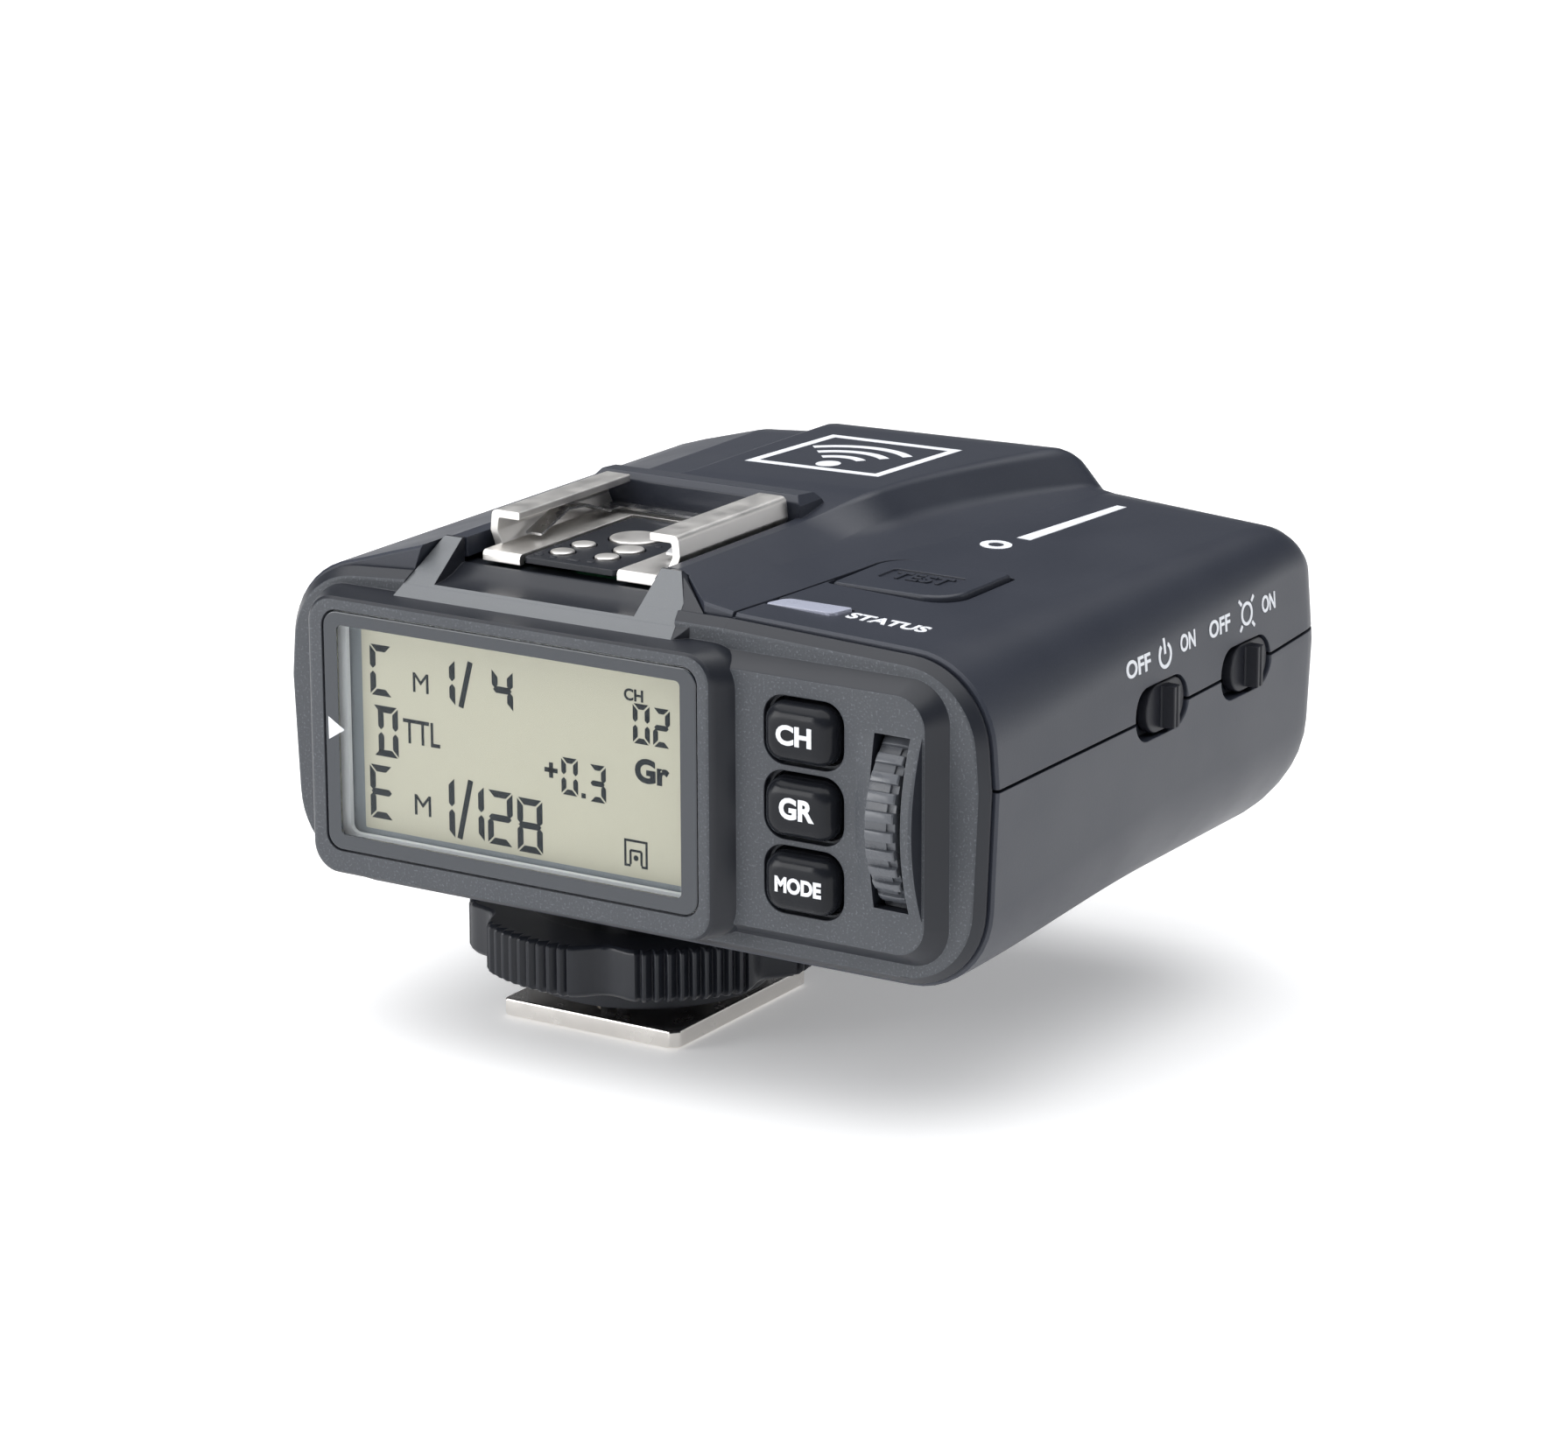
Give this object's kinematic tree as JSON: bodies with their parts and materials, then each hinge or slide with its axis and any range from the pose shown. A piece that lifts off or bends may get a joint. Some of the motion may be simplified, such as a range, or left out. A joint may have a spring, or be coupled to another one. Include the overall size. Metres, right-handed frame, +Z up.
{
  "type": "wireless flash trigger",
  "caption": "Camera-top radio flash trigger with a display, keys, dial, slide switches, locking shoe foot below and a pass-through accessory shoe on top.",
  "frame": {"origin": "centre of the foot plate's underside, the face that slides on a camera shoe's floor", "axes": "+X to the user's right when reading the display, +Y away from the user, +Z up; the foot's face looks along -Z"},
  "size_m": [0.075, 0.0668, 0.0481],
  "materials": {
    "case": "smooth satin dark slate plastic",
    "bezel": "fine spark-textured dark grey plastic",
    "lock": "satin dark slate plastic, knurled",
    "window": "clear window with a dark smoked border",
    "display": "reflective grey-green liquid crystal display",
    "backlight": "white light guide",
    "keys": "glossy black",
    "dial": "black, toothed rim",
    "switch_black": "black",
    "black_plastic": "black moulded plastic",
    "status_lens": "translucent milky lens",
    "lamp_lens": "dark red translucent",
    "board": "green glass-fibre board",
    "switch_can": "stamped steel can",
    "nickel": "nickel-plated sheet",
    "spring_steel": "plain steel",
    "foot_metal": "satin warm silver",
    "contact": "nickel-plated contact",
    "gold": "gold-coloured contact",
    "cell": "printed cell sleeve, plain"
  },
  "bodies": {
    "unit": {"top_cover": "case", "bottom_cover": "case", "front_bezel": "bezel", "lcd_window": "window", "lcd_panel": "display", "lcd_backlight": "backlight", "ch_tact_switch": "switch_can", "gr_tact_switch": "switch_can", "mode_tact_switch": "switch_can", "control_board": "board", "main_board": "board", "dial_axle": "spring_steel", "dial_bracket": "black_plastic", "test_tact_switch": "switch_can", "status_light": "status_lens", "status_led": "backlight", "power_switch_body": "switch_can", "lamp_switch_body": "switch_can", "switch_board": "board", "shoe_plate": "nickel", "shoe_contact_centre": "contact", "shoe_contact_1": "contact", "shoe_contact_2": "contact", "shoe_contact_3": "contact", "shoe_contact_4": "contact", "shoe_insulator": "black_plastic", "shoe_spring": "spring_steel", "foot_plate": "foot_metal", "foot_contact_centre": "gold", "foot_contact_1": "gold", "foot_contact_2": "gold", "foot_contact_3": "gold", "foot_contact_4": "gold", "foot_insulator": "black_plastic", "foot_stem": "foot_metal", "battery_cell_1": "cell", "battery_cell_2": "cell", "battery_contact_bridge": "nickel", "battery_contact_plus": "nickel", "battery_contact_minus": "nickel", "door_hinge_pin": "spring_steel", "af_lamp_window": "lamp_lens", "usb_port": "nickel", "sync_jack": "black_plastic", "case_screw_1": "spring_steel", "case_screw_2": "spring_steel", "case_screw_3": "spring_steel", "case_screw_4": "spring_steel"},
    "ch_key": {"ch_button": "keys"},
    "gr_key": {"gr_button": "keys"},
    "mode_key": {"mode_button": "keys"},
    "dial": {"select_dial": "dial"},
    "test_key": {"test_button": "case"},
    "power_slider": {"power_switch": "switch_black"},
    "lamp_slider": {"lamp_switch": "switch_black"},
    "lock_disc": {"lock_disc": "black_plastic", "lock_pin": "spring_steel"},
    "lock_ring": {"lock_ring": "lock"},
    "battery_door": {"battery_door": "case"}
  },
  "joints": [
    {"name": "ch_press", "type": "slide", "parent": "unit", "child": "ch_key", "axis": [0, 1, 0], "range_m": [0, 0.0006], "stiffness_N_per_m": 400, "springref_m": -0.0006},
    {"name": "gr_press", "type": "slide", "parent": "unit", "child": "gr_key", "axis": [0, 1, 0], "range_m": [0, 0.0006], "stiffness_N_per_m": 400, "springref_m": -0.0006},
    {"name": "mode_press", "type": "slide", "parent": "unit", "child": "mode_key", "axis": [0, 1, 0], "range_m": [0, 0.0006], "stiffness_N_per_m": 400, "springref_m": -0.0006},
    {"name": "test_press", "type": "slide", "parent": "unit", "child": "test_key", "axis": [0, 0, -1], "range_m": [0, 0.0005], "stiffness_N_per_m": 500, "springref_m": -0.0006},
    {"name": "dial_turn", "type": "hinge", "parent": "unit", "child": "dial", "pos_m": [0.0383, -0.0143, 0.0286], "axis": [1, 0, 0], "continuous": true},
    {"name": "power_slide", "type": "slide", "parent": "unit", "child": "power_slider", "axis": [0, -1, 0], "range_m": [0, 0.0022]},
    {"name": "lamp_slide", "type": "slide", "parent": "unit", "child": "lamp_slider", "axis": [0, -1, 0], "range_m": [0, 0.0022]},
    {"name": "lock_disc_slide", "type": "slide", "parent": "unit", "child": "lock_disc", "axis": [0, 0, -1], "range_m": [0, 0.0009]},
    {"name": "lock_ring_turn", "type": "hinge", "parent": "lock_disc", "child": "lock_ring", "pos_m": [-0.001, 0, 0.0073], "axis": [0, 0, 1], "range_deg": [0, 270]},
    {"name": "battery_door_swing", "type": "hinge", "parent": "unit", "child": "battery_door", "pos_m": [0.0095, 0.0387, 0.0122], "axis": [1, 0, 0], "range_deg": [0, 95]}
  ],
  "couplings": [
    {"joint": "lock_disc_slide", "follows": "lock_ring_turn", "m_per_rad": 0.00019097}
  ]
}
